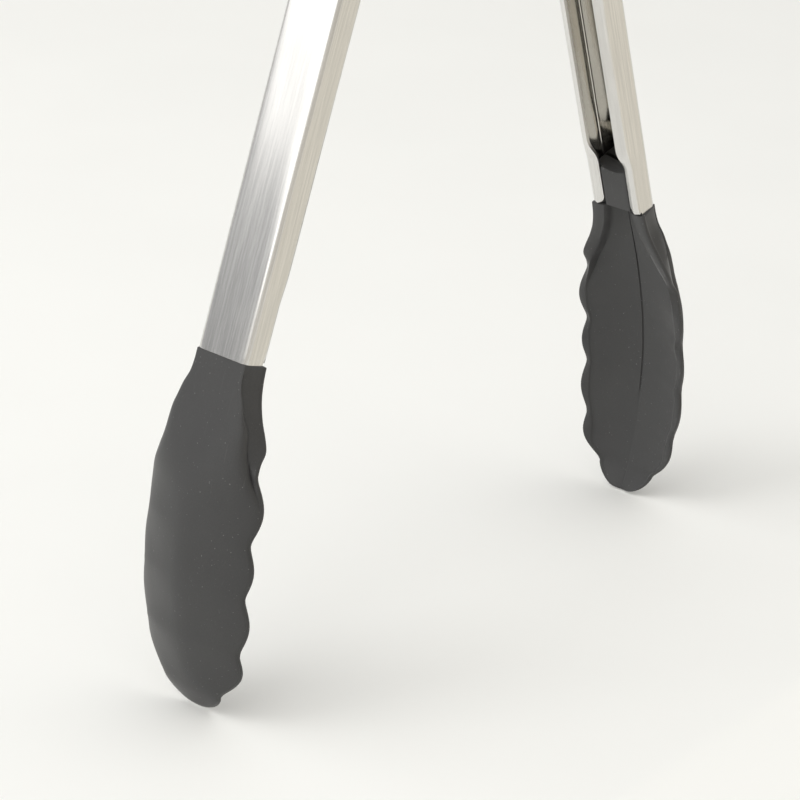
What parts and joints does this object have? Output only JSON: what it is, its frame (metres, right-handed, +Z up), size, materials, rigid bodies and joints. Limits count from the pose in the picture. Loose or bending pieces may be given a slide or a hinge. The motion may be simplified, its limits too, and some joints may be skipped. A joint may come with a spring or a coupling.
{
  "type": "spring loaded kitchen tongs",
  "caption": "Sprung scissor-pivot kitchen tongs: folded stainless channel arms, moulded nylon scalloped heads, a torsion spring at the pivot and a pull strap that locks them shut and hangs them up.",
  "frame": {"origin": "on the surface the two tips stand on, midway between them and under the pivot pin", "axes": "+Z up through the pivot; the arms spread along X and swing in the XZ plane; +Y along the pivot pin"},
  "size_m": [0.1904, 0.0356, 0.309],
  "materials": {
    "brushed_steel": "lengthwise brushed outside, near mirror inside the channel",
    "black_nylon": "fine spark-eroded mould texture, matte",
    "rivet_steel": "polished, lightly handled",
    "spring_wire": "drawn wire, satin",
    "strap_steel": "satin strip"
  },
  "bodies": {
    "pivot": {"pivot_rivet": "rivet_steel", "rivet_washer": "rivet_steel", "spring_sleeve": "rivet_steel", "torsion_spring": "spring_wire"},
    "left_side": {"left_arm": "brushed_steel", "left_head": "black_nylon"},
    "right_side": {"right_arm": "brushed_steel", "right_head": "black_nylon"},
    "lock_slider": {"pull_strap": "strap_steel", "lock_bar": "rivet_steel"}
  },
  "joints": [
    {"name": "left_hinge", "type": "hinge", "parent": "pivot", "child": "left_side", "pos_m": [0, 0, 0.2872], "axis": [0, -1, 0], "range_deg": [0, 16.8], "stiffness_Nm_per_rad": 1.4, "springref_deg": -8.02, "deforming": ["torsion_spring"]},
    {"name": "right_hinge", "type": "hinge", "parent": "pivot", "child": "right_side", "pos_m": [0, 0, 0.2872], "axis": [0, 1, 0], "range_deg": [0, 16.8], "stiffness_Nm_per_rad": 1.4, "springref_deg": -8.02},
    {"name": "lock_slide", "type": "slide", "parent": "pivot", "child": "lock_slider", "axis": [0, 0, 1], "range_m": [0, 0.01]}
  ],
  "couplings": [
    {"joint": "right_hinge", "follows": "left_hinge", "ratio": 1}
  ]
}
